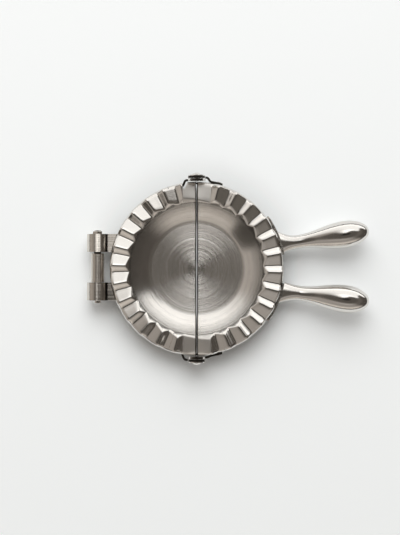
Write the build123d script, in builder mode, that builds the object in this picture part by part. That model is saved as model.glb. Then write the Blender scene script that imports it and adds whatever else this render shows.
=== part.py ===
from build123d import *
import os
from math import acos, asin, cos, degrees, hypot, radians, sin, tan

os.makedirs("parts", exist_ok=True)

# Round empanada press lying open on a table. Millimetres, +Z up.
# The origin is the centre of the ring on the table; +X points to the handles.
# The two halves fold about a line along Y, just above the fluted rim.

# Driving dimensions: the pressed shells
ring_radius = 60.0
sheet = 1.2
rim_height = 15.0
skirt_height = 11.6
base_radius = 30.0
base_round = 7.0
foot_angle = 37.0
wall_round = 87.0
wall_angle = 47.2
seam_gap = 0.7
seam_round = 0.9
stop_height = 3.0
stop_width = 0.95

# Driving dimensions: the flutes, 28 to the full circle
flute_count = 28
flute_pitch = 360 / flute_count
flute_steep = 0.32 * flute_pitch
flute_slope = 0.03
crest_round = 0.5
flute_start = 40.0
flute_end = 58.4
rim_roll = (1.0, 0.35)
rim_edge = (1.9, 1.7)

# Driving dimensions: the fold hinge
hinge_height = rim_height + 0.25
ear_radius = 6.0
ear_square = 4.6
ear_corner = 1.2
ear_clearance = 0.4
ear_play = 0.3
strap = 1.5
strap_bottom = 6.8
strap_top = 11.4
strap_reach = 18.3
strap_bend = (6.5, 10.4)
long_bend = (6.5, 12.0)
strap_corner = 1.8
ear_fillet = 2.0
hinge_pin_radius = 1.6
hinge_sink_radius = 2.6
hinge_sink_depth = 0.9
washer_radius = 5.8
washer_thickness = 0.8
washer_round = 0.3
dome_radius = 3.5
dome_height = 1.7
rivet_radius = 1.2
rivet_head_radius = 1.9
rivet_head_height = 0.6
ear_rivet_angle = 75.5

# Driving dimensions: the barrel
barrel_x = -68.6
barrel_height = 8.1
eye_radius = 7.4
eye_width = 12.4
upper_eye_y = 17.85
lower_eye_y = -15.65
tail_top = 11.6
tail_bottom = 7.4
tail_round = 1.5
tail_length = 18.6
flange = 1.3
flange_bottom = 6.7
flange_top = 12.2
knuckle_shank = 3.9
pin_radius = 2.5
pin_end_radius = 2.6
pin_end_length = 2.1
pin_end_round = 0.5
pin_tip = 0.7
barrel_chamfer = 0.3
nut_width = 6.2
nut_thickness = 2.0
sleeve_radius = 4.6
sleeve_length = 19.9
sleeve_y = 0.7

# Driving dimensions: the handles. The grip is fullest at the belly, slimmest at the neck
neck_x = 73.2
neck_height = 10.0
handle_tilt = 4.5
handle_length = 46.3
handle_wall = 1.2
shoulder_place = 0.27 * handle_length
shoulder_slack = 0.1
belly_place = 0.6 * handle_length
end_place = 0.9 * handle_length
end_share = 0.69
end_inset = 0.3
upper_neck_y = 19.2
upper_azimuth = 9.0
upper_neck_radius = 4.85
upper_belly_radius = 9.4
lower_neck_y = -17.1
lower_azimuth = -7.1
lower_neck_radius = 5.2
lower_belly_radius = 9.6
flare_end = -2.0
saddle = 1.3
saddle_bottom = 6.6
saddle_top = 12.4
saddle_angles = (9.5, 36.5)
saddle_rivet_angle = 33.0
saddle_end_round = 2.2
tang_radius = 2.2
tang_start = -17.4
tang_end = 8.0
tang_head_radius = 2.8
tang_head = 1.6
tang_gap = 1.0

# Driving dimensions: what the straps pass through in the left shell
slot_width = 5.0
slot_depth = 6.0
back_slot_x = -8.7
front_slot_x = -10.4
slot_clearance = 0.4
notch = ((-10.2, 61), (-6.4, 61), (-6.4, 59), (-8.6, 54.6), (-10.2, 57.6))

# Clearances: a seated face, a running fit; how far a cutting tool overshoots
seat = 0.05
running = 0.05
overshoot = 3.0

# Places worked out from the driving dimensions
half_gap = seam_gap / 2
skirt_middle = ring_radius - sheet / 2
skirt_bottom = rim_height - skirt_height
skirt_inside = ring_radius - sheet
inner_ear = ring_radius + ear_clearance
outer_ear = inner_ear + strap + ear_play
washer_face = outer_ear + strap
head_face = washer_face + washer_thickness
strap_middle = (strap_bottom + strap_top) / 2
saddle_middle = (saddle_bottom + saddle_top) / 2
flange_middle = (flange_bottom + flange_top) / 2
fold_axis = Axis((0, 0, hinge_height), (0, 1, 0))


def radial_plane(angle, height, radius=ring_radius):
    """Plane on the ring whose normal points straight out from the axis."""
    out = Vector(1, 0, 0).rotate(Axis.Z, angle)
    return Plane(origin=out * radius + Vector(0, 0, height), z_dir=out)


def finish(part, name):
    """Name one piece and write it."""
    part.label = name
    export_step(part, f"parts/{name}.step")


def rivet(seat_plane, shank_length):
    """Round-headed rivet; its head stands on the seat plane and points out of it."""
    shank_radius = rivet_radius - seat / 2
    with BuildPart() as body:
        with BuildSketch(Plane.XZ):
            with BuildLine():
                dome = TangentArc((0, rivet_head_height), (rivet_head_radius, 0), tangent=(1, 0))
                Polyline(dome @ 1, (shank_radius, 0), (shank_radius, -shank_length),
                         (0, -shank_length), dome @ 0)
            make_face()
        revolve(axis=Axis.Z)
    return body.part.moved(seat_plane.location)


# ---------------------------------------------------------------- half shells
def bowl_profile(inset, top):
    """Section of the bowl, this far under its upper side: flat base, tight turn, hollow wall."""
    base_z = sheet - inset
    with BuildSketch(Plane.XZ) as section:
        with BuildLine():
            base = Line((0, base_z), (base_radius, base_z))
            turn = JernArc(base @ 1, base % 1, base_round + inset, foot_angle)
            wall = JernArc(turn @ 1, turn % 1, wall_round + inset, wall_angle - foot_angle)
            rise = top - (wall @ 1).Y
            lip = Line(wall @ 1, wall @ 1 + Vector(rise / tan(radians(wall_angle)), rise))
            Polyline(lip @ 1, (0, top), base @ 0)
        make_face()
    return section.sketch


def flute_outline(angles, heights, reach, drop):
    """Sawtooth of one flute on an upright plane, this far out from the axis."""
    points = []
    for angle, height in zip(angles, heights):
        turn = radians(angle)
        points.append((reach * tan(turn), height * flute_slope * reach / cos(turn) - drop))
    foot = -rim_height - overshoot
    points += [(points[-1][0], foot), (points[0][0], foot)]
    upright = Plane(origin=(reach, 0, rim_height), x_dir=(0, 1, 0), z_dir=(1, 0, 0))
    with BuildSketch(upright) as outline:
        with BuildLine():
            Polyline(*points, close=True)
        make_face()
        by_height = outline.vertices().sort_by(Axis.Y)
        valley, crest = by_height[2], by_height[-1]
        fillet([crest, valley], crest_round * reach / ring_radius)
    return outline.sketch


def flute_block(right, left):
    """Everything under one flute; right and left are the angles that it covers each way."""
    angles = (-right, -flute_steep / 2, flute_steep / 2, left)
    heights = (0, 1, -1, 0)
    stations = ((flute_start, 0), (flute_end, 0), (flute_end + rim_roll[0], rim_roll[1]),
                (flute_end + rim_edge[0], rim_edge[1]))
    with BuildPart() as block:
        for reach, drop in stations:
            add(flute_outline(angles, heights, reach, drop))
        loft(ruled=True)
    return block.part


# The flute beside each end of the seam has a wide flat panel that runs to the seam
middle_flute = flute_block(flute_pitch / 2, flute_pitch / 2)
front_flute = flute_block(flute_pitch, flute_pitch / 2)
back_flute = flute_block(flute_pitch / 2, flute_pitch)
last_flute = flute_count // 4 - 1

# Everything that lies under the fluted surface of the half on the +X side
with BuildPart() as under_rim:
    first_angle = (1 - last_flute) * flute_pitch
    with PolarLocations(0, 2 * last_flute - 1, first_angle, -2 * first_angle, endpoint=True):
        add(middle_flute)
    add(front_flute.rotate(Axis.Z, -last_flute * flute_pitch))
    add(back_flute.rotate(Axis.Z, last_flute * flute_pitch))
    with BuildSketch(Plane.XY.offset(-overshoot)):
        Circle(flute_start + overshoot)
    extrude(amount=rim_height + 3 * overshoot)

# Hollow between the bowl wall and the skirt, up to the underside of the sheet
with BuildPart() as underside:
    with BuildSketch(Plane.XZ):
        Rectangle(skirt_inside, rim_height + overshoot, align=(Align.MIN, Align.MIN))
    revolve(axis=Axis.Z)
    revolve(bowl_profile(sheet, rim_height + 3 * overshoot), Axis.Z, mode=Mode.SUBTRACT)
    add(under_rim.part.moved(Location((0, 0, -sheet))), mode=Mode.INTERSECT)


def bowl_surface(reach):
    """Height of the upper side of the bowl at this radius."""
    foot, slope = radians(foot_angle), radians(wall_angle)
    turn_end = base_radius + base_round * sin(foot)
    turn_height = sheet + base_round * (1 - cos(foot))
    wall_centre = turn_end - wall_round * sin(foot)
    wall_end = wall_centre + wall_round * sin(slope)
    if reach < base_radius:
        return sheet
    if reach < turn_end:
        return sheet + base_round - (base_round**2 - (reach - base_radius) ** 2) ** 0.5
    if reach < wall_end:
        drop = (wall_round**2 - (reach - wall_centre) ** 2) ** 0.5
        return turn_height + wall_round * cos(foot) - drop
    wall_height = turn_height + wall_round * (cos(foot) - cos(slope))
    return wall_height + (reach - wall_end) * tan(slope)


def is_upper_lip(edge):
    """True for an edge of the cut sheet on the side that the dough lies on."""
    middle = edge.position_at(0.5)
    reach = hypot(middle.X, middle.Y)
    surface = min(bowl_surface(reach), rim_height)
    return abs(middle.Z - surface) < sheet / 3 and reach < flute_end


# One half of the press as stamped, before its notches and holes
with BuildPart() as half_shell:
    with BuildSketch(Plane.XZ):
        with Locations((0, skirt_bottom)):
            Rectangle(ring_radius, skirt_height + overshoot, align=(Align.MIN, Align.MIN))
    revolve(axis=Axis.Z)
    revolve(bowl_profile(sheet, rim_height + overshoot), Axis.Z)
    add(under_rim.part, mode=Mode.INTERSECT)
    revolve(bowl_profile(0, rim_height + 2 * overshoot), Axis.Z, mode=Mode.SUBTRACT)
    add(underside.part, mode=Mode.SUBTRACT)
    split(bisect_by=Plane.YZ.offset(half_gap), keep=Keep.TOP)
    seam_face = half_shell.faces().filter_by(Plane.YZ).sort_by(Axis.X)[0]
    fillet(seam_face.edges().filter_by(is_upper_lip), seam_round)
    # The ends of the skirt meet below the fold line and stop the press when it lies flat
    with BuildSketch(Plane.XY.offset(skirt_bottom)):
        with GridLocations(0, 2 * skirt_middle, 1, 2):
            Rectangle(seam_gap, stop_width, align=(Align.MIN, Align.CENTER))
    extrude(amount=stop_height)


# ---------------------------------------------------------------- handles
def handle_plane(side_y, azimuth):
    """Plane through the neck: x runs along the handle, y across it, z upwards."""
    along = Vector(1, 0, 0).rotate(Axis.Y, -handle_tilt).rotate(Axis.Z, azimuth)
    up = Vector(0, 0, 1).rotate(Axis.Y, -handle_tilt).rotate(Axis.Z, azimuth)
    return Plane(origin=(neck_x, side_y, neck_height), x_dir=along, z_dir=up)


def grip_outline(plane, start, neck_radius, belly_radius, inset):
    """Half outline of the bottle-shaped grip, moved inwards by the inset."""
    belly = (belly_place, belly_radius - inset)
    shoulder = (shoulder_place, (neck_radius + belly_radius) / 2 - shoulder_slack - inset)
    end_round = (end_place - end_inset * inset, end_share * belly_radius - inset)
    with BuildSketch(plane) as outline:
        with BuildLine():
            side = Spline((start, neck_radius - inset), shoulder, belly, end_round,
                          (handle_length - inset, 0), tangents=((1, 0), (0, -1)))
            Polyline(side @ 1, (start, 0), side @ 0)
        make_face()
    return outline.sketch


def tang_hole(plane, end):
    """What a tang's hole takes away, from behind the skirt to this far along the handle."""
    start = tang_start - 2 * overshoot
    with BuildPart() as hole:
        with BuildSketch(Plane(origin=plane.from_local_coords((start, 0, 0)), z_dir=plane.x_dir)):
            Circle(tang_radius)
        extrude(amount=end - start)
    return hole.part


def handle_part(plane, neck_radius, belly_radius, flare):
    """Hollow grip whose solid root flares out to its curved seat on the ring."""
    along = Axis(plane.origin, plane.x_dir)
    root_start = flare[-1][0]
    with BuildPart() as grip:
        for station, across, lift, half_width, half_height in flare:
            section = Plane(origin=plane.from_local_coords((station, across, lift)),
                            x_dir=plane.y_dir, z_dir=plane.x_dir)
            with BuildSketch(section):
                Ellipse(half_width, half_height)
        loft()
        revolve(grip_outline(plane, root_start, neck_radius, belly_radius, 0), along)
        revolve(grip_outline(plane, tang_end, neck_radius, belly_radius, handle_wall), along,
                mode=Mode.SUBTRACT)
        add(tang_hole(plane, tang_end + tang_gap), mode=Mode.SUBTRACT)
        Cylinder(ring_radius + seat + saddle + seat, 4 * rim_height, mode=Mode.SUBTRACT)
    return grip.part


def tang_part(plane):
    """Stud inside the neck, peened over behind the skirt."""
    head_start = plane.from_local_coords((tang_start - tang_head, 0, 0))
    shank_start = plane.from_local_coords((tang_start, 0, 0))
    with BuildPart() as stud:
        with BuildSketch(Plane(origin=head_start, z_dir=plane.x_dir)):
            Circle(tang_head_radius)
        extrude(amount=2 * tang_head)
        Cylinder(skirt_inside - seat, 4 * rim_height, mode=Mode.INTERSECT)
        with BuildSketch(Plane(origin=shank_start, z_dir=plane.x_dir)):
            Circle(tang_radius - seat / 2)
        extrude(amount=tang_end - tang_start)
    return stud.part


def saddle_part(plane, side):
    """Curved strap between the skirt and the root of a handle; side is 1 above, -1 below."""
    with BuildPart() as strip:
        with BuildSketch(Plane.XY.offset(saddle_bottom)):
            with BuildLine():
                start = side * saddle_angles[0]
                sweep = side * saddle_angles[1] - start
                inner = CenterArc((0, 0), ring_radius + seat, start, sweep)
                outer = CenterArc((0, 0), ring_radius + seat + saddle, start, sweep)
                Line(inner @ 0, outer @ 0)
                Line(inner @ 1, outer @ 1)
            make_face()
        extrude(amount=saddle_top - saddle_bottom)
        across = strip.edges().filter_by(GeomType.LINE).filter_by(lambda e: e.length < 1.5 * saddle)
        fillet(across.filter_by(lambda e: abs(e.center().Y) > ring_radius / 2), saddle_end_round)
        with Locations(radial_plane(side * saddle_rivet_angle, saddle_middle)):
            Cylinder(rivet_radius, 4 * saddle, mode=Mode.SUBTRACT)
        add(tang_hole(plane, 0), mode=Mode.SUBTRACT)
    return strip.part


# Along the handle, across it, up, half width and half height of each section of a root
upper_flare = ((-21.5, 1.8, 0.9, 12.0, 2.7), (-14.5, 1.1, 0.8, 7.2, 3.2),
               (-8.6, 0.3, 0.3, 5.3, 4.2),
               (flare_end, 0, 0, upper_neck_radius, upper_neck_radius))
lower_flare = ((-21.5, -1.2, 0.9, 11.0, 2.7), (-14.5, -0.7, 0.8, 7.4, 3.2),
               (-8.6, -0.2, 0.3, 5.8, 4.2),
               (flare_end, 0, 0, lower_neck_radius, lower_neck_radius))
upper_plane = handle_plane(upper_neck_y, upper_azimuth)
lower_plane = handle_plane(lower_neck_y, lower_azimuth)

upper_handle = handle_part(upper_plane, upper_neck_radius, upper_belly_radius, upper_flare)
lower_handle = handle_part(lower_plane, lower_neck_radius, lower_belly_radius, lower_flare)
finish(upper_handle, "upper_handle")
finish(lower_handle, "lower_handle")
finish(tang_part(upper_plane), "upper_tang")
finish(tang_part(lower_plane), "lower_tang")
finish(saddle_part(upper_plane, 1), "upper_saddle")
finish(saddle_part(lower_plane, -1), "lower_saddle")

# Rivets through the long ends of the saddles, headed on both sides
with BuildPart() as saddle_rivets:
    for angle in (saddle_rivet_angle, -saddle_rivet_angle):
        head = radial_plane(angle, saddle_middle, ring_radius + seat + saddle)
        add(rivet(head, seat + saddle + sheet))
finish(saddle_rivets.part, "saddle_rivets")

with BuildPart() as right_shell:
    add(half_shell.part)
    for side, plane in ((1, upper_plane), (-1, lower_plane)):
        with Locations(radial_plane(side * ear_rivet_angle, strap_middle),
                       radial_plane(side * saddle_rivet_angle, saddle_middle)):
            Cylinder(rivet_radius, 4 * sheet, mode=Mode.SUBTRACT)
        add(tang_hole(plane, 0), mode=Mode.SUBTRACT)
finish(right_shell.part, "right_shell")


# ---------------------------------------------------------------- fold hinge
def ear_part(face, seat_radius, bend, sunk):
    """Strap on the +X side of the back hinge, with the ear that its pin goes through."""
    bend_start, bend_end = bend
    middle = seat_radius + strap / 2
    bend_angle = degrees(acos(bend_end / middle))
    tail_angle = degrees(acos(strap_reach / middle))
    with BuildPart() as ear:
        with BuildSketch(Plane.XY.offset(strap_bottom)):
            with BuildLine():
                flat = Line((-ear_radius, face + strap / 2), (bend_start, face + strap / 2))
                tail = CenterArc((0, 0), middle, bend_angle, tail_angle - bend_angle)
                Spline(flat @ 1, tail @ 0, tangents=(flat % 1, tail % 0))
            trace(line_width=strap)
        extrude(amount=hinge_height + ear_radius - strap_bottom)
        # The silhouette: the ear over a strap with a rounded end; a sunk ear is round
        with BuildSketch(Plane.XZ) as silhouette:
            with Locations((0, hinge_height)):
                if sunk:
                    Circle(ear_radius)
                else:
                    RectangleRounded(2 * ear_radius, 2 * ear_square, ear_corner)
            with Locations((0, strap_bottom)):
                Rectangle(strap_reach, strap_top - strap_bottom, align=(Align.MIN, Align.MIN))
                Rectangle(ear_radius, hinge_height - strap_bottom, align=(Align.MIN, Align.MIN))
            inner_corner = silhouette.vertices().sort_by_distance((ear_radius, 0, strap_top))[0]
            fillet(inner_corner, ear_fillet)
            fillet(silhouette.vertices().group_by(Axis.X)[-1], strap_corner)
        extrude(amount=-washer_face, mode=Mode.INTERSECT)
        with Locations(Plane(origin=(0, face, hinge_height), z_dir=(0, -1, 0))):
            if sunk:
                CounterSinkHole(hinge_pin_radius + running, hinge_sink_radius + running)
            else:
                Hole(hinge_pin_radius + seat / 2)
        with Locations(radial_plane(ear_rivet_angle, strap_middle)):
            Cylinder(rivet_radius, 4 * strap, mode=Mode.SUBTRACT)
    return ear.part


# The right half has the outer ear at the back and the inner one at the front. Its straps
# run outside the skirt, those of the left half inside it and out through slots.
right_seat = ring_radius + seat
left_seat = skirt_inside - seat - strap
finish(ear_part(outer_ear, right_seat, strap_bend, False), "right_ear_back")
finish(ear_part(inner_ear, right_seat, strap_bend, True).mirror(Plane.XZ), "right_ear_front")
finish(ear_part(inner_ear, left_seat, strap_bend, True).mirror(Plane.YZ), "left_ear_back")
front_strap = ear_part(outer_ear, left_seat, long_bend, False)
finish(front_strap.rotate(Axis.Z, 180), "left_ear_front")

# Hinge pin: sunk head flush in the inner ear, shank, dome outside the washer
with BuildPart() as hinge_pin:
    with BuildSketch(Plane(origin=(0, 0, hinge_height), x_dir=(0, 1, 0), z_dir=(1, 0, 0))):
        with BuildLine():
            dome = TangentArc((head_face + dome_height, 0), (head_face, dome_radius), tangent=(0, 1))
            sink_face = inner_ear + seat
            Polyline(dome @ 1, (head_face, hinge_pin_radius),
                     (inner_ear + hinge_sink_depth, hinge_pin_radius),
                     (sink_face, hinge_sink_radius - seat), (sink_face, 0), dome @ 0)
        make_face()
    revolve(axis=fold_axis)
finish(hinge_pin.part, "hinge_pin_back")
finish(hinge_pin.part.mirror(Plane.XZ), "hinge_pin_front")

with BuildPart() as washer:
    with BuildSketch(Plane(origin=(0, washer_face, hinge_height), z_dir=(0, 1, 0))):
        Circle(washer_radius)
        Circle(hinge_pin_radius + seat / 2, mode=Mode.SUBTRACT)
    extrude(amount=washer_thickness)
    fillet(washer.edges().group_by(Axis.Y)[-1].sort_by(SortBy.RADIUS)[-1], washer_round)
finish(washer.part, "hinge_washer_back")
finish(washer.part.mirror(Plane.XZ), "hinge_washer_front")

# Rivets of the outer straps: round heads outside
with BuildPart() as right_ear_rivets:
    for angle in (ear_rivet_angle, -ear_rivet_angle):
        head = radial_plane(angle, strap_middle, ring_radius + seat + strap)
        add(rivet(head, seat + strap + sheet))
finish(right_ear_rivets.part, "right_ear_rivets")

# Rivets of the inner straps: flush outside, round heads behind the strap
with BuildPart() as left_ear_rivets:
    for angle in (180 - ear_rivet_angle, ear_rivet_angle - 180):
        head = radial_plane(angle, strap_middle, skirt_inside - 2 * seat - strap)
        add(rivet(Plane(origin=head.origin, z_dir=-head.z_dir), 2 * seat + strap + sheet))
finish(left_ear_rivets.part, "left_ear_rivets")


# ---------------------------------------------------------------- barrel
def knuckle_turn(middle_y):
    """Angle on the ring at which the rivet of this knuckle stands."""
    return 180 - degrees(asin(middle_y / ring_radius))


def knuckle_part(middle_y):
    """Eye with a tail whose curved flange seats on the outside of the skirt."""
    near, far = middle_y - eye_width / 2, middle_y + eye_width / 2
    with BuildPart() as eye:
        with BuildSketch(Plane.XZ.offset(-near)) as outline:
            with Locations((barrel_x, barrel_height)):
                Circle(eye_radius)
            with Locations((barrel_x, tail_bottom)):
                Rectangle(tail_length, tail_top - tail_bottom, align=(Align.MIN, Align.MIN))
            reach = (eye_radius**2 - (tail_top - barrel_height) ** 2) ** 0.5
            inner_corner = outline.vertices().sort_by_distance((barrel_x + reach, 0, tail_top))[0]
            fillet(inner_corner, tail_round)
        extrude(amount=-eye_width)
        with BuildSketch(Plane.XY.offset(flange_bottom)):
            Circle(ring_radius + seat + flange)
            Rectangle(2 * ring_radius, 3 * ring_radius, align=(Align.MIN, Align.CENTER),
                      mode=Mode.SUBTRACT)
            with Locations((0, middle_y)):
                Rectangle(3 * ring_radius, eye_width, mode=Mode.INTERSECT)
        extrude(amount=flange_top - flange_bottom)
        Cylinder(ring_radius + seat, 4 * rim_height, mode=Mode.SUBTRACT)
        with BuildSketch(Plane(origin=(barrel_x, near, barrel_height), z_dir=(0, 1, 0))):
            Circle(pin_radius + seat / 2)
        extrude(amount=eye_width, mode=Mode.SUBTRACT)
        with Locations(radial_plane(knuckle_turn(middle_y), flange_middle)):
            Cylinder(rivet_radius, 2 * knuckle_shank, mode=Mode.SUBTRACT)
    return eye.part


finish(knuckle_part(upper_eye_y), "upper_knuckle")
finish(knuckle_part(lower_eye_y), "lower_knuckle")

with BuildPart() as knuckle_rivets:
    for middle_y in (upper_eye_y, lower_eye_y):
        head = radial_plane(knuckle_turn(middle_y), flange_middle, skirt_inside - seat)
        add(rivet(Plane(origin=head.origin, z_dir=-head.z_dir), sheet + knuckle_shank))
finish(knuckle_rivets.part, "knuckle_rivets")

barrel_top = upper_eye_y + eye_width / 2
barrel_end = lower_eye_y - eye_width / 2
with BuildPart() as barrel_pin:
    with BuildSketch(Plane(origin=(barrel_x, barrel_end, barrel_height), z_dir=(0, 1, 0))):
        Circle(pin_radius)
    extrude(amount=barrel_top + nut_thickness + pin_tip - barrel_end)
    chamfer(barrel_pin.edges().group_by(Axis.Y)[-1], barrel_chamfer)
    with BuildSketch(Plane(origin=(barrel_x, barrel_end, barrel_height), z_dir=(0, -1, 0))):
        Circle(pin_end_radius)
    extrude(amount=pin_end_length)
    fillet(barrel_pin.edges().group_by(Axis.Y)[0], pin_end_round)
finish(barrel_pin.part, "barrel_pin")

with BuildPart() as barrel_nut:
    with BuildSketch(Plane(origin=(barrel_x, barrel_top, barrel_height), z_dir=(0, 1, 0))):
        RegularPolygon(nut_width / 2, 6, major_radius=False)
        Circle(pin_radius + seat / 2, mode=Mode.SUBTRACT)
    extrude(amount=nut_thickness)
    outer_edges = barrel_nut.edges().group_by(Axis.Y)[-1].filter_by(GeomType.LINE)
    chamfer(outer_edges, barrel_chamfer)
finish(barrel_nut.part, "barrel_nut")

with BuildPart() as barrel_sleeve:
    sleeve_start = (barrel_x, sleeve_y - sleeve_length / 2, barrel_height)
    with BuildSketch(Plane(origin=sleeve_start, z_dir=(0, 1, 0))):
        Circle(sleeve_radius)
        Circle(pin_radius + running, mode=Mode.SUBTRACT)
    extrude(amount=sleeve_length)
    rims = barrel_sleeve.edges().filter_by(GeomType.CIRCLE).sort_by(SortBy.RADIUS)[-2:]
    chamfer(rims, barrel_chamfer)
finish(barrel_sleeve.part, "barrel_sleeve")

# Left half: the same stamping turned round, with its notches and holes
with BuildPart() as left_shell:
    add(half_shell.part.rotate(Axis.Z, 180))
    # Slots in the skirt let the inner straps bend out to their ears
    with BuildSketch(Plane.XY.offset(strap_top + slot_clearance)):
        with Locations((back_slot_x, skirt_middle), (front_slot_x, -skirt_middle)):
            Rectangle(slot_width, slot_depth)
    extrude(amount=-rim_height, mode=Mode.SUBTRACT)
    # Relief notch in the rim above the back strap
    with BuildSketch(Plane.XY.offset(strap_top)):
        with BuildLine():
            Polyline(*notch, close=True)
        make_face()
    extrude(amount=2 * rim_height, mode=Mode.SUBTRACT)
    with Locations(radial_plane(180 - ear_rivet_angle, strap_middle),
                   radial_plane(ear_rivet_angle - 180, strap_middle),
                   radial_plane(knuckle_turn(upper_eye_y), flange_middle),
                   radial_plane(knuckle_turn(lower_eye_y), flange_middle)):
        Cylinder(rivet_radius, 4 * sheet, mode=Mode.SUBTRACT)
finish(left_shell.part, "left_shell")
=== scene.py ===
from contextlib import contextmanager
from math import atan2, cos, degrees, hypot, pi, radians, sin, tan

import bmesh
import bpy
from bpy.props import FloatProperty, FloatVectorProperty, IntProperty, PointerProperty
from mathutils import Matrix, Vector


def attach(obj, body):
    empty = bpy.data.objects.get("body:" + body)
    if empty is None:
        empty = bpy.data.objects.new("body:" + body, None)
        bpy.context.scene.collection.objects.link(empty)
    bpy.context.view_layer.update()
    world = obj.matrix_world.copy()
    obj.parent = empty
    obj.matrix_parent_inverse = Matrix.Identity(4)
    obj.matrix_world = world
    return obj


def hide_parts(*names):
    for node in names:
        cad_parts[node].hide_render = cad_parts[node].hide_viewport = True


bl_info = {
    "name": "Empanada press",
    "version": (1, 0, 0),
    "blender": (4, 5, 0),
    "location": "View3D > Sidebar > Press",
    "description": "Dresses a round steel empanada press and sets its studio",
    "category": "Add Mesh",
}

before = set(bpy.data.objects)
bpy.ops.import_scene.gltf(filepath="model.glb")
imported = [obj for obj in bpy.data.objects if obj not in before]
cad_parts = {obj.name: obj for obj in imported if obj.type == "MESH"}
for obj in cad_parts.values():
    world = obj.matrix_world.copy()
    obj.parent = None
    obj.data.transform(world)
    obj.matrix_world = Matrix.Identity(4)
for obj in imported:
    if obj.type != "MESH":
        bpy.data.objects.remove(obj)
bpy.context.view_layer.update()

MM = 0.001


# ------------------------------------------------------------------ shader wiring
class Wire:
    """An output socket; arithmetic on wires adds Math nodes to their tree."""

    def __init__(self, shading, socket):
        self.shading = shading
        self.socket = socket

    def maths(self, operation, first, second=0.0):
        return self.shading.node("ShaderNodeMath", {"operation": operation}, {0: first, 1: second})

    def __add__(self, other):
        return self.maths("ADD", self, other)

    def __sub__(self, other):
        return self.maths("SUBTRACT", self, other)

    def __mul__(self, other):
        return self.maths("MULTIPLY", self, other)

    def __truediv__(self, other):
        return self.maths("DIVIDE", self, other)

    def __pow__(self, other):
        return self.maths("POWER", self, other)

    __radd__ = __add__
    __rmul__ = __mul__

    def limit(self, low):
        """This value, or low where it falls below it."""
        return self.maths("MAXIMUM", self, low)


class Shading:
    """The node tree of one material or of the world, emptied and ready to be wired."""

    def __init__(self, tree, output):
        self.tree = tree
        tree.nodes.clear()
        self.output = tree.nodes.new(output)

    def node(self, kind, settings=None, sockets=None, output=0):
        """Add a node, make its settings, then fill or link its sockets."""
        made = self.tree.nodes.new(kind)
        for name, value in (settings or {}).items():
            setattr(made, name, value)
        for name, value in (sockets or {}).items():
            socket = made.inputs[name]
            if isinstance(value, Wire):
                self.tree.links.new(value.socket, socket)
            elif isinstance(value, (tuple, list)) and socket.type == "RGBA":
                socket.default_value = (*value[:3], 1.0)
            else:
                socket.default_value = value
        return Wire(self, made.outputs[output])

    def point(self):
        """Object coordinates."""
        return self.node("ShaderNodeTexCoord", output="Object")

    def split(self, vector):
        """The x, y and z of a vector as separate wires."""
        return [self.node("ShaderNodeSeparateXYZ", sockets={0: vector}, output=axis)
                for axis in range(3)]

    def reach(self, x, y):
        """Distance from the upright axis."""
        return (x * x + y * y) ** 0.5

    def step(self, value, low, high):
        """0 below low, 1 above high and a smooth rise between; low may lie above high."""
        return self.node("ShaderNodeMapRange", {"interpolation_type": "SMOOTHSTEP"},
                         {"Value": value, "From Min": low, "From Max": high})

    def band(self, value, middle, outer, inner):
        """1 nearer to the middle than inner, 0 further from it than outer."""
        offset = value - middle
        return self.step(offset.maths("ABSOLUTE", offset), outer, inner)

    def noise(self, point, scale, detail, roughness):
        """Noise through the piece, from 0 to 1."""
        return self.node("ShaderNodeTexNoise", {"noise_dimensions": "3D"}, {
            "Vector": point, "Scale": scale, "Detail": detail, "Roughness": roughness})

    def lines(self, value, scale, detail, roughness):
        """Noise along one measure, about 0."""
        return self.node("ShaderNodeTexNoise", {"noise_dimensions": "1D"}, {
            "W": value, "Scale": scale, "Detail": detail, "Roughness": roughness}) - 0.5

    def mix(self, share, low, high):
        """Colour between low and high."""
        return self.node("ShaderNodeMix", {"data_type": "RGBA"}, {0: share, 6: low, 7: high},
                         output=2)

    def vector(self, operation, first, second=(0, 0, 0)):
        """Vector arithmetic; a SCALE takes its factor as the second value."""
        sockets = {0: first, "Scale": second} if operation == "SCALE" else {0: first, 1: second}
        return self.node("ShaderNodeVectorMath", {"operation": operation}, sockets)

    def leant(self, direction, slope):
        """The surface normal leant by this slope along a direction of the piece."""
        turned = self.node("ShaderNodeVectorTransform", {
            "vector_type": "VECTOR", "convert_from": "OBJECT", "convert_to": "WORLD",
        }, {0: direction})
        normal = self.node("ShaderNodeNewGeometry", output="Normal")
        lean = self.vector("SCALE", turned, slope)
        return self.vector("NORMALIZE", self.vector("ADD", normal, lean))

    def bump(self, height, strength, distance, normal=None):
        """Fine unevenness, on top of a leant normal where there is one."""
        sockets = {"Strength": strength, "Distance": distance, "Height": height}
        if normal is not None:
            sockets["Normal"] = normal
        return self.node("ShaderNodeBump", sockets=sockets)

    def finish(self, shader):
        self.tree.links.new(shader.socket, self.output.inputs[0])

    def finish_metal(self, colour, roughness, normal):
        self.finish(self.node("ShaderNodeBsdfPrincipled", sockets={
            "Base Color": colour, "Metallic": 1.0, "Roughness": roughness, "Normal": normal}))


def new_material(name):
    material = bpy.data.materials.new(name)
    material.use_nodes = True
    return material, Shading(material.node_tree, "ShaderNodeOutputMaterial")


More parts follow.
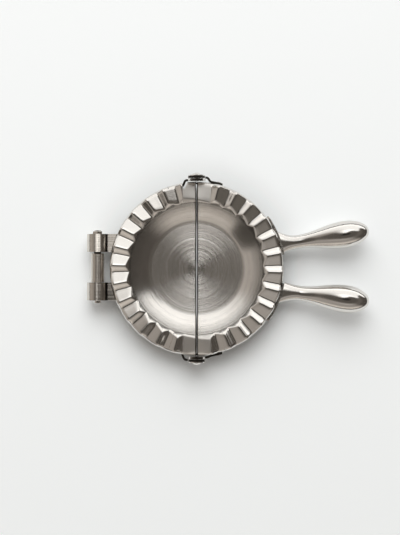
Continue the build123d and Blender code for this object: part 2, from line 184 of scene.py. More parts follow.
# ------------------------------------------------------------------ finishes
# Each zone of a finish is given by where it begins to show and where it is full
BASE_ZONE = (1.13, 0.99)  # shares of the base's radius
BOWL_ZONE = (46.5 * MM, 44.5 * MM)
RIM_ZONE = (45.5 * MM, 47.5 * MM)
RING_ZONE = (1 * MM, 17 * MM)  # the base's rings deepen outwards
PANEL_ZONE = (10.8 * MM, 8.8 * MM)  # off the seam
SEAM_SHADE_ZONE = (1.25 * MM, 0.7 * MM)  # off the seam
WORN_ZONE = (2.4 * MM, 1.7 * MM)  # off the barrel's middle
CREVICE_ZONE = (1.2 * MM, 0.5 * MM)
TAIL_LENGTH = 2 * MM
HIDDEN_PIN_ZONE = (17 * MM, 15 * MM)  # off the middle of the pin's length
TOP_SHADE_ZONE = (0.5, 0.9)  # share of the surface's normal that points up

# Lines of the finishes, in cycles to the metre
FINE_RINGS = 5200
COARSE_RINGS = 640
GROUND_LINES = 2600

# How far each kind of line or flat tilts the surface
FINE_LEAN = 4.8
COARSE_LEAN = 0.5
GROUND_LEAN = 0.5
PANEL_LEAN = 0.08
TAIL_LEAN = 0.65  # share of the lean of the barrel's worn flat

# Shares of the rings' lean that the zones of a shell get
BASE_SHARE = 0.87
MIDDLE_SHARE = 0.22  # of the base's share, in its very middle
BOWL_SHARE = 0.09
RIM_SHARE = 0.025

SHELL_ROUGHNESS = 0.11
SPUN_ROUGHNESS = 0.06  # more on the base and on the bowl
HAZE_ROUGHNESS = 0.06
PANEL_ROUGHNESS = 0.32
TAIL_SHADE_SHARE = 0.55

# Colours of painted shade: at the seam's edges and the straps' upper edges, on the barrel's tails
# and in its crevice; on the pin's middle, grime and painted shade
PAINTED_SHADE = (0.10, 0.09, 0.08)
TAIL_SHADE = (0.20, 0.18, 0.16)
CREVICE_SHADE = (0.07, 0.06, 0.05)
PIN_GRIME_AND_SHADE = (0.05, 0.045, 0.04)


def toned(colour, factor=1.0):
    """A colour of the settings, made brighter or darker."""
    return tuple(channel * factor for channel in colour)


def turned_steel(look):
    """Shell steel: base turned in fine rings, a faintly spun wall and a cleaner fluted rim."""
    material, shade = new_material("turned_steel")
    point = shade.point()
    x, y, _ = shade.split(point)
    reach = shade.reach(x, y)
    base = shade.step(reach, *(look.base_radius * share for share in BASE_ZONE))
    bowl = shade.step(reach, *BOWL_ZONE)
    fine = shade.lines(reach, FINE_RINGS, detail=2, roughness=0.6)
    coarse = shade.lines(reach, COARSE_RINGS, detail=3, roughness=0.7)
    spread = shade.step(reach, *RING_ZONE) * (1 - MIDDLE_SHARE) + MIDDLE_SHARE
    share = base * spread * BASE_SHARE + bowl * BOWL_SHARE + RIM_SHARE
    # The panels beside the seam are hand finished, and the edges of the seam are darkened with
    # painted shade
    dull = shade.band(x, 0.0, *PANEL_ZONE) * shade.step(reach, *RIM_ZONE)
    seam_shade = shade.band(x, 0.0, *SEAM_SHADE_ZONE)
    slope = (fine * FINE_LEAN + coarse * COARSE_LEAN) * share + dull * PANEL_LEAN
    outward = shade.node("ShaderNodeCombineXYZ", sockets={0: x / reach, 1: y / reach, 2: 0.0})
    clouds = shade.noise(point, scale=130, detail=2, roughness=0.5)
    normal = shade.bump(clouds, strength=0.15, distance=0.15 * MM,
                        normal=shade.leant(outward, slope))
    haze = shade.noise(point, scale=55, detail=3, roughness=0.6)
    roughness = (SHELL_ROUGHNESS + base * SPUN_ROUGHNESS + bowl * SPUN_ROUGHNESS
                 + haze * HAZE_ROUGHNESS + dull * PANEL_ROUGHNESS)
    unshaded = shade.mix(haze, toned(look.steel), toned(look.steel, 0.93))
    shade.finish_metal(shade.mix(seam_shade, unshaded, PAINTED_SHADE), roughness, normal)
    return material


def satin_steel(look, name, flat, tone):
    """Barrel steel: ground lines, a flat worn along its top and a crevice darkened with painted
    shade.

    Inward of the crevice, where the tails, the saddles and the small rivets are, it is darkened
    with painted shade.
    """
    material, shade = new_material(name)
    point = shade.point()
    x, y, _ = shade.split(point)
    haze = shade.noise(point, scale=110, detail=3, roughness=0.6)
    worn = shade.band(x, look.worn_place, *WORN_ZONE)
    crevice = shade.band(x, look.crevice_place, *CREVICE_ZONE)
    tail = shade.step(x, look.crevice_place, look.crevice_place + TAIL_LENGTH)
    lines = shade.lines(y, GROUND_LINES, detail=2, roughness=0.6)
    slope = lines * GROUND_LEAN + (worn + tail * TAIL_LEAN) * flat
    normal = shade.bump(haze, strength=0.4, distance=0.05 * MM,
                        normal=shade.leant((0.0, 1.0, 0.0), slope))
    unshaded = shade.mix(haze, toned(look.satin, tone), toned(look.satin, tone * 0.88))
    # Painted shade on the tails inward of the crevice, which lie lower, under the rim
    colour = shade.mix(tail * TAIL_SHADE_SHARE, unshaded, TAIL_SHADE)
    # Painted shade in the crevice where the rolled eyes meet their tails
    colour = shade.mix(crevice, colour, CREVICE_SHADE)
    shade.finish_metal(colour, 0.16 + haze * 0.1, normal)
    return material


def strap_steel(look):
    """Hinge strap steel of a punched strap: bright sides, with painted shade darkening its upper
    edges near-black.
    """
    material, shade = new_material("strap_steel")
    haze = shade.noise(shade.point(), scale=160, detail=3, roughness=0.6)
    upward = shade.split(shade.node("ShaderNodeTexCoord", output="Normal"))[2]
    top_shade = shade.step(upward, *TOP_SHADE_ZONE)
    bright = shade.mix(haze, toned(look.steel), toned(look.steel, 0.9))
    # Faces that point up are painted near-black: painted shade on the straps' upper edges
    colour = shade.mix(top_shade, bright, PAINTED_SHADE)
    normal = shade.bump(haze, strength=0.3, distance=0.05 * MM)
    shade.finish_metal(colour, 0.14 + top_shade * 0.14, normal)
    return material


def pin_steel(look):
    """Barrel pin: polished ends and a middle darkened with grime and painted shade, which shows in
    the gaps beside the sleeve.
    """
    material, shade = new_material("pin_steel")
    point = shade.point()
    haze = shade.noise(point, scale=160, detail=3, roughness=0.6)
    hidden = shade.band(shade.split(point)[1], look.barrel_place, *HIDDEN_PIN_ZONE)
    bright = shade.mix(haze, toned(look.steel), toned(look.steel, 0.85))
    # Grime and painted shade on the middle of the pin, which shows in the gaps beside the sleeve
    colour = shade.mix(hidden, bright, PIN_GRIME_AND_SHADE)
    normal = shade.bump(haze, strength=0.3, distance=0.05 * MM)
    shade.finish_metal(colour, 0.16 + hidden * 0.3, normal)
    return material


def mirror_steel(look):
    """Steel of the handles and the hinge rivets: polished by hand, faintly cloudy."""
    material, shade = new_material("mirror_steel")
    point = shade.point()
    haze = shade.noise(point, scale=70, detail=3, roughness=0.6)
    clouds = shade.noise(point, scale=140, detail=1, roughness=0.4)
    normal = shade.bump(clouds, strength=0.3, distance=0.06 * MM)
    colour = shade.mix(haze, toned(look.steel), toned(look.steel, 0.95))
    shade.finish_metal(colour, 0.1 + haze * 0.08, normal)
    return material


# ------------------------------------------------------------------ modelling by hand
WELD = 0.002 * MM
SAME_PLACE = 0.01 * MM


def choose(piece):
    """Make a piece the only selected one and the active one."""
    bpy.ops.object.select_all(action="DESELECT")
    piece.select_set(True)
    bpy.context.view_layer.objects.active = piece


@contextmanager
def editing(piece):
    """Edit mode on one piece alone, with nothing selected."""
    choose(piece)
    bpy.ops.object.mode_set(mode="EDIT")
    bpy.ops.mesh.select_all(action="DESELECT")
    yield
    bpy.ops.object.mode_set(mode="OBJECT")


def pick(piece, kind, wanted):
    """Select the VERT, EDGE or FACE elements of the edited piece that pass the test."""
    bpy.ops.mesh.select_all(action="DESELECT")
    bpy.ops.mesh.select_mode(type=kind)
    shape = bmesh.from_edit_mesh(piece.data)
    for element in {"VERT": shape.verts, "EDGE": shape.edges, "FACE": shape.faces}[kind]:
        if wanted(element):
            element.select_set(True)
    bmesh.update_edit_mesh(piece.data)


def draw_line(name, points):
    """Start a piece as a chain of edges through these points; the last one stays selected."""
    bpy.ops.object.select_all(action="DESELECT")
    bpy.ops.mesh.primitive_plane_add(size=MM)
    piece = bpy.context.object
    piece.name = name
    with editing(piece):
        # Only in this mode does the one vertex that is left stay selected
        bpy.ops.mesh.select_mode(type="VERT")
        bpy.ops.mesh.select_all(action="SELECT")
        bpy.ops.mesh.merge(type="CENTER")
        bpy.ops.transform.translate(value=points[0])
        for start, end in zip(points, points[1:]):
            bpy.ops.mesh.extrude_region_move(TRANSFORM_OT_translate={"value": end - start})
    return piece


def add_modifier(piece, kind, **settings):
    """Add a modifier with these settings and apply it."""
    choose(piece)
    bpy.ops.object.modifier_add(type=kind)
    modifier = piece.modifiers[-1]
    for name, value in settings.items():
        setattr(modifier, name, value)
    bpy.ops.object.modifier_apply(modifier=modifier.name)


def turned_copy(piece, name, angle):
    """Copy of a piece with a mesh of its own, turned about the ring's axis."""
    twin = piece.copy()
    twin.data = piece.data.copy()
    twin.data.transform(Matrix.Rotation(radians(angle), 4, "Z"))
    twin.name = name
    bpy.context.collection.objects.link(twin)
    return twin


def smooth(piece, angle):
    """Smooth shading, with edges sharper than this angle kept."""
    choose(piece)
    bpy.ops.object.shade_smooth_by_angle(angle=radians(angle))


def join(pieces, name):
    """One piece from several that share their borders, with normals out."""
    bpy.ops.object.select_all(action="DESELECT")
    for piece in pieces:
        piece.select_set(True)
    bpy.context.view_layer.objects.active = pieces[0]
    bpy.ops.object.join()
    whole = bpy.context.object
    whole.name = name
    with editing(whole):
        bpy.ops.mesh.select_all(action="SELECT")
        bpy.ops.mesh.remove_doubles(threshold=WELD)
        bpy.ops.mesh.normals_make_consistent(inside=False)
    return whole


# ------------------------------------------------------------------ settings
class PressLook(bpy.types.PropertyGroup):
    """Sizes and colours of the press and its studio."""

    ring_radius: FloatProperty(
        name="Ring radius", description="Outside of the skirt",
        default=60 * MM, unit="LENGTH")
    sheet: FloatProperty(
        name="Sheet", description="Thickness of the pressed steel",
        default=1.2 * MM, unit="LENGTH")
    rim_height: FloatProperty(
        name="Rim height", description="Height of the fold line of the flutes",
        default=15 * MM, unit="LENGTH")
    skirt_bottom: FloatProperty(
        name="Skirt bottom", description="Height of the skirt's lower edge",
        default=3.4 * MM, unit="LENGTH")
    base_radius: FloatProperty(
        name="Base radius", description="Radius of the turned flat base",
        default=30 * MM, unit="LENGTH")
    base_round: FloatProperty(
        name="Base round", description="Radius of the turn from base to wall",
        default=7 * MM, unit="LENGTH")
    foot_angle: FloatProperty(
        name="Foot angle", description="Slope of the bowl's wall at its foot",
        default=radians(37), subtype="ANGLE")
    wall_round: FloatProperty(
        name="Wall round", description="Radius of the hollow wall",
        default=87 * MM, unit="LENGTH")
    wall_angle: FloatProperty(
        name="Wall angle", description="Slope of the bowl's wall at the lip",
        default=radians(47.2), subtype="ANGLE")
    seam_gap: FloatProperty(
        name="Seam gap", description="Slit between the halves",
        default=0.7 * MM, unit="LENGTH")
    seam_round: FloatProperty(
        name="Seam round", description="Width rounded off each edge of the seam",
        default=0.8 * MM, unit="LENGTH")
    stop_height: FloatProperty(
        name="Stop height", description="Height of the stops at the ends of the skirt",
        default=3 * MM, unit="LENGTH")
    flute_count: IntProperty(
        name="Flutes", description="Flutes to the full circle", default=28, min=8)
    flute_steep: FloatProperty(
        name="Steep share", description="Share of a flute that its steep side takes",
        default=0.32, min=0.1, max=0.5)
    flute_slope: FloatProperty(
        name="Flute slope", description="Height of a crest over its distance out",
        default=0.03, min=0)
    flute_bulge: FloatProperty(
        name="Flute bulge", description="Crown of a wide flank, as a share of its height",
        default=0.10, min=0)
    seam_droop: FloatProperty(
        name="Seam droop", description="Outward fall of the panels beside the seam",
        default=radians(6), subtype="ANGLE")
    crest_round: FloatProperty(
        name="Crest round", description="Width rounded off each side of a crest",
        default=0.9 * MM, unit="LENGTH")
    rim_roll: FloatProperty(
        name="Rim roll", description="Width rounded off at the outer corner",
        default=2.2 * MM, unit="LENGTH")
    slot_places: FloatVectorProperty(
        name="Slot places", description="Middle of the back and the front slot off the seam",
        size=2, default=(-8.7 * MM, -10.4 * MM), unit="LENGTH")
    slot_width: FloatProperty(
        name="Slot width", description="Width of the slots that let the inner straps out",
        default=5 * MM, unit="LENGTH")
    slot_top: FloatProperty(
        name="Slot top", description="Height of the upper end of the slots",
        default=11.8 * MM, unit="LENGTH")
    worn_place: FloatProperty(
        name="Worn place", description="Middle of the flat worn along the barrel",
        default=-68.2 * MM, unit="LENGTH")
    crevice_place: FloatProperty(
        name="Crevice place", description="Where the rolled eyes meet their tails",
        default=-62.3 * MM, unit="LENGTH")
    barrel_place: FloatProperty(
        name="Barrel place", description="Where the barrel's middle lies along the fold",
        default=0 * MM, unit="LENGTH")
    steel: FloatVectorProperty(
        name="Steel", description="Colour of the polished steel",
        subtype="COLOR", default=(0.80, 0.775, 0.74), min=0, max=1)
    satin: FloatVectorProperty(
        name="Satin steel", description="Colour of the barrel, the saddles and small rivets",
        subtype="COLOR", default=(0.66, 0.62, 0.57), min=0, max=1)
    floor: FloatVectorProperty(
        name="Floor", description="Colour of the floor",
        subtype="COLOR", default=(0.875, 0.90, 0.908), min=0, max=1)
    floor_lift: FloatProperty(
        name="Floor lift", description="How far the seen floor is lifted towards white",
        default=0.225, min=0)
    lamp_power: FloatProperty(
        name="Lamp", description="Brightness of the lamp that casts the shadow",
        default=2.64, min=0)
    key_power: FloatProperty(
        name="Window", description="Brightness of the window behind the press",
        default=1.17, min=0)


# ------------------------------------------------------------------ half shells
DROOP_START = 0.25  # in pitches from a flute's middle, where its rim begins to fall
SEAM_FACING = -0.95  # x of a face's normal that makes it part of the cut at the seam
SKIRT_END_FACING = -0.9
UP_FACING = 0.4
SKIRT_INSIDE = 58 * MM
ROUND_SEGMENTS = 4
SMOOTH_ANGLE = 40
BELOW_PRESS, ABOVE_PRESS = -1 * MM, 20 * MM
SLOT_IN, SLOT_OUT = 56.4 * MM, 62.4 * MM
NOTCH_BOTTOM = 11.4 * MM
NOTCH = [(x * MM, y * MM) for x, y in (
    (-10.2, 61), (-6.4, 61), (-6.4, 59), (-8.6, 54.6), (-10.2, 57.6))]


class Stamping:
    """The fluted surface of one half, worked out from the settings; angles are in degrees."""

    # How finely the surface is divided, along its section and across a flute
    BASE_RINGS = 5
    TURN_RINGS = 6
    WALL_RINGS = 5
    RIM_SHARES = (0, 0.25, 0.5, 0.75, 1)
    SKIRT_STEP = 5 * MM
    WIDE_COLUMNS = 4
    STEEP_COLUMNS = 2

    # Limits that tell the edges of the rim apart
    LIP_REACH = (45.9 * MM, 49.2 * MM)
    LIP_BOTTOM = 13.2 * MM
    CORNER_REACH = 59.9 * MM
    RIM_BOTTOM = 11.9 * MM
    FOLDS_END = 0.7  # in pitches past the middle of the last flute
    SAME_ANGLE = 0.05

    def __init__(self, look):
        self.look = look
        self.pitch = 360 / look.flute_count
        self.half_steep = look.flute_steep * self.pitch / 2
        self.turn = self.arc(look.base_radius, look.sheet, look.base_round,
                             0, look.foot_angle, self.TURN_RINGS)
        self.wall = self.arc(*self.turn[-1], look.wall_round,
                             look.foot_angle, look.wall_angle, self.WALL_RINGS)
        end_reach, end_height = self.wall[-1]
        self.lip = end_reach + (look.rim_height - end_height) / tan(look.wall_angle)
        self.last = look.flute_count // 4 - 1

    def arc(self, reach, height, radius, start, end, count):
        """Reach and height along a hollow arc whose slope grows from start to end."""
        angles = [start + (end - start) * i / count for i in range(1, count + 1)]
        return [(reach + radius * (sin(a) - sin(start)), height + radius * (cos(start) - cos(a)))
                for a in angles]

    def profile(self):
        """Reach and height of each point from the middle of the base to the foot of the skirt."""
        look = self.look
        points = [(look.base_radius * i / self.BASE_RINGS, look.sheet)
                  for i in range(self.BASE_RINGS + 1)]
        points += self.turn + self.wall
        points += [(self.lip + share * (look.ring_radius - self.lip), look.rim_height)
                   for share in self.RIM_SHARES]
        return points + [(look.ring_radius, look.skirt_bottom + height)
                         for height in (self.SKIRT_STEP, look.stop_height, 0)]

    def flank(self, start, end, low, high, count):
        """Columns across one flank: angle and height factor."""
        shares = [i / count for i in range(count + 1)]
        return [(start + s * (end - start), low + s * (high - low)) for s in shares]

    def flute(self, right, left):
        """Columns of one flute; right and left are the angles that it covers each way.

        A flute beside the seam reaches further to that side, and its wide flanks stay flat.
        """
        steep = self.half_steep
        before, after = [self.WIDE_COLUMNS if side > self.pitch / 2 else self.WIDE_COLUMNS // 2
                         for side in (right, left)]
        columns = (self.flank(-right, -steep, 0, 1, before)
                   + self.flank(-steep, steep, 1, -1, self.STEEP_COLUMNS)[1:]
                   + self.flank(steep, left, -1, 0, after)[1:])
        if right != left:
            return columns
        return [(angle, height + self.crown(angle)) for angle, height in columns]

    def crown(self, angle):
        """How far a wide flank swells above its straight line at this angle."""
        steep = self.half_steep
        if abs(angle) <= steep:
            return 0
        start = steep if angle > 0 else steep - self.pitch
        return self.look.flute_bulge * sin(pi * (angle - start) / (self.pitch - 2 * steep))

    def fluted(self, share, height, droop):
        """Reach and height on the rim, this share of the way out along a column."""
        look = self.look
        lip = self.lip / (1 - look.flute_slope * height / tan(look.wall_angle))
        reach = lip + share * (look.ring_radius - lip)
        return reach, look.rim_height + look.flute_slope * height * reach - droop * (reach - lip)

    def is_fold(self, edge):
        """True for a rim edge along a crest or a valley."""
        first, second = [degrees(atan2(v.co.y, v.co.x)) for v in edge.verts]
        on_rim = all(hypot(v.co.x, v.co.y) > self.LIP_REACH[0] and v.co.z > self.RIM_BOTTOM
                     for v in edge.verts)
        place = (first + self.pitch / 2) % self.pitch - self.pitch / 2
        end = (self.last + self.FOLDS_END) * self.pitch
        return (on_rim and abs(first - second) < self.SAME_ANGLE and abs(first) < end
                and abs(abs(place) - self.half_steep) < self.SAME_ANGLE)

    def is_lip(self, edge):
        """True for an edge where the bowl turns into the rim."""
        low, high = self.LIP_REACH
        return all(low < hypot(v.co.x, v.co.y) < high and v.co.z > self.LIP_BOTTOM
                   for v in edge.verts)

    def is_outer_corner(self, edge):
        """True for an edge where the rim turns down into the skirt."""
        return all(hypot(v.co.x, v.co.y) > self.CORNER_REACH and v.co.z > self.RIM_BOTTOM
                   for v in edge.verts)


def flute_strip(stamping, name, columns, droops):
    """One flute with the sector of base, wall and skirt that belongs to it."""
    look = stamping.look
    start = radians(columns[0][0])
    line = [Vector((reach * cos(start), reach * sin(start), height))
            for reach, height in stamping.profile()]
    strip = draw_line(name, line)
    with editing(strip):
        bpy.ops.mesh.select_all(action="SELECT")
        for (angle, _), (following, _) in zip(columns, columns[1:]):
            bpy.ops.mesh.spin(steps=1, angle=radians(angle - following),
                              center=(0, 0, 0), axis=(0, 0, 1))
        for (angle, height), droop in zip(columns, droops):
            out = Vector((cos(radians(angle)), sin(radians(angle)), 0))
            for share in stamping.RIM_SHARES:
                flat = stamping.lip + share * (look.ring_radius - stamping.lip)
                place = out * flat + Vector((0, 0, look.rim_height))
                reach, lift = stamping.fluted(share, height, droop)
                pick(strip, "VERT", lambda v: (v.co - place).length < SAME_PLACE)
                bpy.ops.transform.translate(
                    value=out * (reach - flat) + Vector((0, 0, lift - look.rim_height)))
    return strip


def pressed_half(stamping):
    """The half on the +X side: fluted, its folds rounded, cut at the seam and given its sheet."""
    look = stamping.look
    pitch, last = stamping.pitch, stamping.last

    def strip(name, right, left, side):
        """A flute whose rim falls away towards the seam on this side: -1, 1 or 0 for neither."""
        columns = stamping.flute(right, left)
        shares = [max(0, side * angle / pitch - DROOP_START) / (1 - DROOP_START)
                  for angle, _ in columns]
        return flute_strip(stamping, name, columns, [tan(look.seam_droop) * s for s in shares])

    middle = strip("middle_flute", pitch / 2, pitch / 2, 0)
    front = strip("front_flute", pitch, pitch / 2, -1)
    back = strip("back_flute", pitch / 2, pitch, 1)
    strips = [turned_copy(middle, "flute", k * pitch) for k in range(1 - last, last)]
    strips.append(turned_copy(front, "flute", -last * pitch))
    strips.append(turned_copy(back, "flute", last * pitch))
    for model in (middle, front, back):
        bpy.data.objects.remove(model)
    half = join(strips, "half_shell")
    with editing(half):
        for wanted, width in ((stamping.is_outer_corner, look.rim_roll),
                              (stamping.is_fold, look.crest_round),
                              (stamping.is_lip, look.crest_round)):
            pick(half, "EDGE", wanted)
            bpy.ops.transform.edge_bevelweight(value=width / look.rim_roll)
        bpy.ops.mesh.select_all(action="DESELECT")
    add_modifier(half, "BEVEL", limit_method="WEIGHT", width=look.rim_roll,
                 segments=ROUND_SEGMENTS, use_clamp_overlap=False)
    with editing(half):
        bpy.ops.mesh.select_all(action="SELECT")
        bpy.ops.mesh.bisect(plane_co=(look.seam_gap / 2, 0, 0), plane_no=(1, 0, 0),
                            clear_inner=True)
    add_modifier(half, "SOLIDIFY", thickness=look.sheet, offset=-1, use_even_offset=True,
                 use_quality_normals=True)
    with editing(half):
        pick(half, "EDGE", is_seam_edge)
        bpy.ops.mesh.bevel(offset=look.seam_round, segments=ROUND_SEGMENTS, affect="EDGES")
        pick(half, "FACE", lambda face: is_skirt_end(face, look.skirt_bottom + look.stop_height))
        bpy.ops.mesh.extrude_region_move(
            TRANSFORM_OT_translate={"value": (-look.seam_gap / 2, 0, 0)})
    return half


def is_seam_edge(edge):
    """True along the upper edge of the cut at the seam."""
    if len(edge.link_faces) != 2:
        return False
    side, top = sorted(edge.link_faces, key=lambda face: face.normal.x)
    return side.normal.x < SEAM_FACING and top.normal.z > UP_FACING


def is_skirt_end(face, top):
    """True for a face of the cut across the skirt that lies below this height."""
    middle = face.calc_center_median()
    return face.normal.x < SKIRT_END_FACING and abs(middle.y) > SKIRT_INSIDE and middle.z < top


def cut(piece, cutter):
    """Take a cutter's shape out of a piece."""
    # The exact solver empties the stamping at its second cut
    add_modifier(piece, "BOOLEAN", object=cutter, operation="DIFFERENCE", solver="FAST")
    bpy.data.objects.remove(cutter)


def prism(outline, low, high):
    """Upright block over a flat outline."""
    block = draw_line("cutter", [Vector((x, y, low)) for x, y in outline])
    with editing(block):
        bpy.ops.mesh.select_all(action="SELECT")
        bpy.ops.mesh.edge_face_add()
        bpy.ops.mesh.extrude_region_move(TRANSFORM_OT_translate={"value": (0, 0, high - low)})
        bpy.ops.mesh.select_all(action="SELECT")
        bpy.ops.mesh.normals_make_consistent(inside=False)
    return block


class PRESS_OT_shells(bpy.types.Operator):
    """Press the two fluted half shells"""

    bl_idname = "press.shells"
    bl_label = "Fluted shells"

    def execute(self, context):
        look = context.scene.press_look
        stamping = Stamping(look)
        right = pressed_half(stamping)
        right.name = "right_stamping"
        left = turned_copy(right, "left_stamping", 180)
        # Slots that let the inner straps out through the skirt, and the notch above the back one
        for middle, side in zip(look.slot_places, (1, -1)):
            corners = ((-1, SLOT_IN), (1, SLOT_IN), (1, SLOT_OUT), (-1, SLOT_OUT))
            outline = [(middle + across * look.slot_width / 2, side * reach)
                       for across, reach in corners]
            cut(left, prism(outline, BELOW_PRESS, look.slot_top))
        cut(left, prism(NOTCH, NOTCH_BOTTOM, ABOVE_PRESS))
        for piece, node, body in ((right, "right_shell", "right_half"),
                                  (left, "left_shell", "left_half")):
            smooth(piece, SMOOTH_ANGLE)
            piece.data.materials.append(turned_steel(look))
            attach(piece, body)
            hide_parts(node)
        return {"FINISHED"}


# ------------------------------------------------------------------ carried-over pieces
class PRESS_OT_steel(bpy.types.Operator):
    """Give every carried-over piece its steel"""

    bl_idname = "press.steel"
    bl_label = "Steel finishes"

    def execute(self, context):
        look = context.scene.press_look
        finishes = {
            "bowl_steel": turned_steel(look),
            "satin_steel": satin_steel(look, "satin_steel", flat=0.1, tone=1.08),
            "polished_steel": mirror_steel(look),
        }
        strap = strap_steel(look)
        special = {
            "right_ear_back": strap,
            "right_ear_front": strap,
            "left_ear_back": strap,
            "left_ear_front": strap,
            "barrel_pin": pin_steel(look),
            "upper_knuckle": satin_steel(look, "bright_satin", flat=0.21, tone=1.12),
        }
        for name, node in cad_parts.items():
            for holder in node.material_slots:
                holder.material = special.get(name, finishes[holder.material.name])
        return {"FINISHED"}


# ------------------------------------------------------------------ studio
FLOOR_SIZE = 6
SHADE_ZONE = (52 * MM, 86 * MM)  # where the floor's lift sets in, clear of the press's shadow
BENCH_ZONE = (240 * MM, 300 * MM)
BENCH = (0.05, 0.045, 0.04)

# The room that the steel mirrors: its colours, and the measures between which each sets in. In a
# direction, z is 0 at the horizon and 1 overhead, y grows towards the window and x to the right.
LEFT_WALL = ((0.50, 0.46, 0.42), (0.36, 0.33, 0.30))  # low, high
LEFT_WALL_RISE = (0.2, 0.7)
RIGHT_WALL = ((0.085, 0.075, 0.066), (0.135, 0.122, 0.108))
RIGHT_WALL_RISE = (0.45, 0.7)
WALL_BORDER = (-0.35, 0.1)
TABLE = ((0.76, 0.70, 0.635), (0.33, 0.305, 0.28), (0.47, 0.44, 0.41))  # low, middle, high
TABLE_RISES = ((0.15, 0.5), (0.6, 0.74))
TABLE_SIDE = (0.2, 0.75)
TABLE_NARROWING = 0.45
TABLE_END = (0.90, 0.78)
OVERHEAD = (0.10, 0.09, 0.08)
OVERHEAD_RISE = (0.76, 0.88)
OVERHEAD_SIDE = (-0.85, -0.5)
STAND = (0.06, 0.053, 0.046)
STAND_WAY = (-0.807, -0.565, 0.17)
STAND_EDGE = (0.955, 0.985)
BLACK = (0.02, 0.018, 0.016)
CAMERA_EDGE = (0.975, 0.992)
HORIZON_EDGE = (0.09, 0.055)

# The window in that room
DAYLIGHT = (1.0, 0.99, 0.97)
PANE_SHARES = (1.35, 1.0, 1.5)  # of the window's brightness: low, middle, high
LOW_PANE = (0.45, 0.1)
HIGH_PANE = (0.76, 0.9)
WINDOW_EDGE = (-0.1, 0.1)
CORNER_ROUND = 0.05
CORNER_SLOPE = 0.48  # how fast the window's near edge recedes towards the right
NARROWED_SLOPE = 0.45  # more than that at half height
NARROWED_RISES = ((0.72, 0.58), (0.22, 0.42))
LIFT = 0.32  # how far the near edge stays off overhead
LIFT_RISE = (0.78, 0.93)
LIFT_SIDE = (-0.3, 0.25)
FADING_LOW = 0.45  # how fast the window fades to its left, low down
FADING_HIGH = 0.55  # more than that high up
FADING_RISE = (0.5, 0.8)
FADING_SHIFT = 0.05
FADING_FLOOR = 0.02

LAMP_PLACE = Vector((-0.13, 1.36, 1.2))
LAMP_SIZE = (1.8, 1.35)
CAMERA_PLACE = (2.34 * MM, 0.9 * MM, 965 * MM)
RIM_DISTANCE = 950 * MM  # from the camera down to the rim
PICTURE_HEIGHT = 368 * MM  # what the picture's long side covers at the rim


def add_floor(look):
    """Pale paper, lifted towards white except round the press, where it keeps its real shadow and
    is left darker as painted shade.
    """
    bpy.ops.object.select_all(action="DESELECT")
    bpy.ops.mesh.primitive_plane_add(size=FLOOR_SIZE, location=(0, 0, 0))
    floor = bpy.context.object
    floor.name = "floor"
    material, shade = new_material("floor_paper")
    point = shade.point()
    x, y, _ = shade.split(point)
    distance = shade.reach(x, y)
    camera_ray, glossy_ray, transmission_ray = [
        shade.node("ShaderNodeLightPath", output=f"Is {kind} Ray")
        for kind in ("Camera", "Glossy", "Transmission")]
    grain = shade.noise(point, scale=900, detail=2, roughness=0.5)
    paper = shade.node("ShaderNodeBsdfPrincipled", sockets={
        "Base Color": toned(look.floor), "Roughness": 0.85,
        "Normal": shade.bump(grain, strength=0.05, distance=0.2 * MM)})
    glow = shade.node("ShaderNodeEmission", sockets={
        "Color": toned(look.floor), "Strength": look.floor_lift})
    lifted = shade.node("ShaderNodeAddShader", sockets={0: paper, 1: glow})
    # Round the press the lift is left out, so the floor there stays darker: painted shade on top
    # of the press's real shadow
    seen = camera_ray.limit(glossy_ray).limit(transmission_ray) * shade.step(distance, *SHADE_ZONE)
    sheet = shade.node("ShaderNodeMixShader", sockets={0: seen, 1: paper, 2: lifted})
    # The metal mirrors a dark bench beyond the paper, far outside the picture
    bench = shade.node("ShaderNodeBsdfPrincipled", sockets={"Base Color": BENCH, "Roughness": 0.8})
    beyond = glossy_ray * shade.step(distance, *BENCH_ZONE)
    shade.finish(shade.node("ShaderNodeMixShader", sockets={0: beyond, 1: sheet, 2: bench}))
    floor.data.materials.append(material)


def room_colour(sky, x, y, z, aside):
    """The walls, the table towards the viewer, the dark overhead and a dark stand."""
    left_wall = sky.mix(sky.step(z, *LEFT_WALL_RISE), *LEFT_WALL)
    right_wall = sky.mix(sky.step(z, *RIGHT_WALL_RISE), *RIGHT_WALL)
    room = sky.mix(sky.step(x, *WALL_BORDER), left_wall, right_wall)
    table = sky.mix(sky.step(z, *TABLE_RISES[0]), TABLE[0], TABLE[1])
    table = sky.mix(sky.step(z, *TABLE_RISES[1]), table, TABLE[2])
    on_table = (sky.step(y * -1.0 - aside * TABLE_NARROWING, *TABLE_SIDE)
                * sky.step(z, *TABLE_END))
    room = sky.mix(on_table, room, table)
    overhead = sky.step(z, *OVERHEAD_RISE) * sky.step(x, *OVERHEAD_SIDE)
    room = sky.mix(overhead, room, OVERHEAD)
    along_stand = x * STAND_WAY[0] + y * STAND_WAY[1] + z * STAND_WAY[2]
    return sky.mix(sky.step(along_stand, *STAND_EDGE), room, STAND)


def window_share(sky, x, y, z, left):
    """How much of the window lies in a direction: sharp near the viewer, fading to the left."""
    corner = (x + (x * x + CORNER_ROUND) ** 0.5) * 0.5
    narrowed = sky.step(z, *NARROWED_RISES[0]) * sky.step(z, *NARROWED_RISES[1])
    lift = sky.step(z, *LIFT_RISE) * sky.step(x, *LIFT_SIDE) * LIFT
    near_edge = corner * (narrowed * NARROWED_SLOPE + CORNER_SLOPE) + lift
    sharp = sky.step(y - near_edge, *WINDOW_EDGE)
    spread = sky.step(z, *FADING_RISE) * FADING_HIGH + FADING_LOW
    fading = sky.step(left / (y + FADING_SHIFT).limit(FADING_FLOOR) * spread, 1.0, 0.0)
    return sharp * fading


def window_colour(sky, z, brightness):
    """Colour of the window, brighter low down and high up."""
    low, middle, high = [toned(DAYLIGHT, brightness * share) for share in PANE_SHARES]
    window = sky.mix(sky.step(z, *LOW_PANE), middle, low)
    return sky.mix(sky.step(z, *HIGH_PANE), window, high)


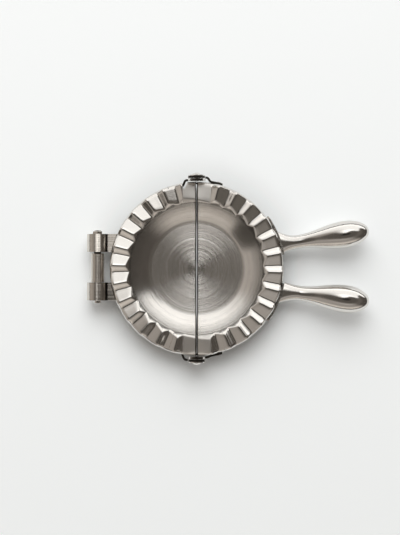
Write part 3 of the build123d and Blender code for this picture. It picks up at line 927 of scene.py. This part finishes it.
def set_world(scene, look):
    """The room round the press, with the window behind it."""
    world = bpy.data.worlds.new("studio")
    scene.world = world
    world.use_nodes = True
    sky = Shading(world.node_tree, "ShaderNodeOutputWorld")
    x, y, z = sky.split(sky.node("ShaderNodeTexCoord", output="Generated"))
    left = (x * -1.0).limit(0.0)
    room = room_colour(sky, x, y, z, aside=left + x.limit(0.0))
    window = window_colour(sky, z, look.key_power)
    colour = sky.mix(window_share(sky, x, y, z, left), room, window)
    # The camera above and the dark line where the far edge of the table meets the room
    colour = sky.mix(sky.step(z, *CAMERA_EDGE), colour, BLACK)
    colour = sky.mix(sky.step(z, *HORIZON_EDGE), colour, BLACK)
    sky.finish(sky.node("ShaderNodeBackground", sockets={"Color": colour, "Strength": 1.0}))


def add_lamp(look):
    """The window's light on the floor; the metal mirrors the window of the room alone."""
    bpy.ops.object.light_add(type="AREA", location=LAMP_PLACE)
    lamp = bpy.context.object
    lamp.data.shape = "RECTANGLE"
    lamp.data.size, lamp.data.size_y = LAMP_SIZE
    # An area lamp of radiance L has power L * pi * area
    lamp.data.energy = look.lamp_power * pi * lamp.data.size * lamp.data.size_y
    lamp.rotation_euler = (-LAMP_PLACE).to_track_quat("-Z", "Y").to_euler()
    lamp.visible_glossy = False


def add_camera(scene):
    """The camera straight above the press."""
    bpy.ops.object.camera_add(location=CAMERA_PLACE, rotation=(0, 0, 0))
    camera = bpy.context.object
    camera.data.lens = camera.data.sensor_width * RIM_DISTANCE / PICTURE_HEIGHT
    camera.data.clip_start = 10 * MM
    scene.camera = camera


class PRESS_OT_stage(bpy.types.Operator):
    """Add the floor, the lights and the camera above the press"""

    bl_idname = "press.stage"
    bl_label = "Studio"

    def execute(self, context):
        look = context.scene.press_look
        add_floor(look)
        set_world(context.scene, look)
        add_lamp(look)
        add_camera(context.scene)
        context.scene.view_settings.view_transform = "Standard"
        return {"FINISHED"}


class PRESS_PT_panel(bpy.types.Panel):
    """Settings and pieces of the press"""

    bl_label = "Empanada press"
    bl_idname = "PRESS_PT_panel"
    bl_space_type = "VIEW_3D"
    bl_region_type = "UI"
    bl_category = "Press"

    def draw(self, context):
        look = context.scene.press_look
        for name in PressLook.__annotations__:
            self.layout.prop(look, name)
        for operator in (PRESS_OT_steel, PRESS_OT_shells, PRESS_OT_stage):
            self.layout.operator(operator.bl_idname)


CLASSES = (PressLook, PRESS_OT_steel, PRESS_OT_shells, PRESS_OT_stage, PRESS_PT_panel)


def register():
    for cls in CLASSES:
        bpy.utils.register_class(cls)
    bpy.types.Scene.press_look = PointerProperty(type=PressLook)


def unregister():
    del bpy.types.Scene.press_look
    for cls in reversed(CLASSES):
        bpy.utils.unregister_class(cls)


def main():
    register()
    bpy.ops.press.steel()
    bpy.ops.press.shells()
    bpy.ops.press.stage()


if __name__ == "__main__":
    main()
